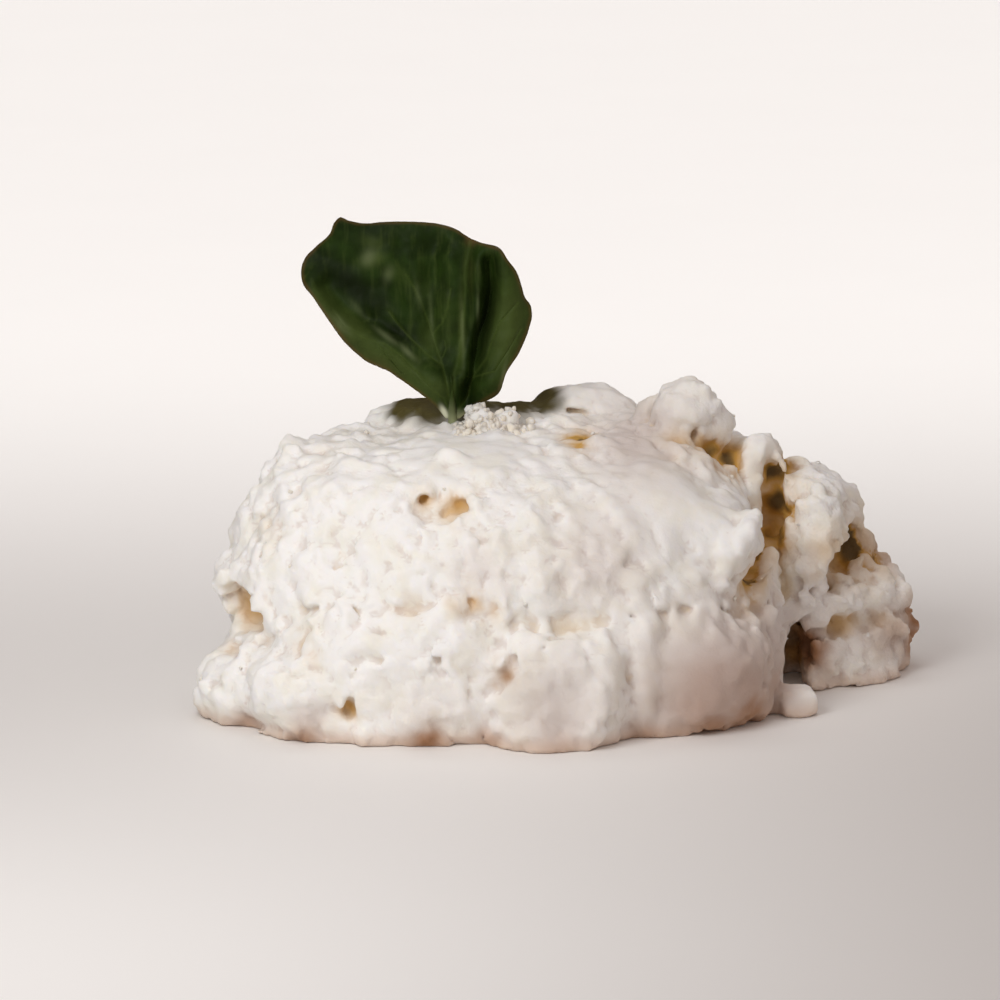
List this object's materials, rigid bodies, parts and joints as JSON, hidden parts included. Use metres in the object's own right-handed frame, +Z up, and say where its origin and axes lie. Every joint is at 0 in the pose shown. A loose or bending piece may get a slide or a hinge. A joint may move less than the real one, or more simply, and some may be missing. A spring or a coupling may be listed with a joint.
{
  "type": "ricotta cheese",
  "caption": "Crumbly hand-shaped mound of fresh ricotta cheese with a basil leaf stuck upright in its top.",
  "frame": {"origin": "middle of the bounding box at the flat underside", "axes": "+X along the mound's length, +Y away from the show side, +Z up"},
  "size_m": [0.1304, 0.1048, 0.0832],
  "materials": {
    "ricotta": "matt fresh curd",
    "basil_leaf": "soft leaf gloss"
  },
  "bodies": {
    "root": {"ricotta": "ricotta", "basil_leaf": "basil_leaf"}
  },
  "joints": []
}
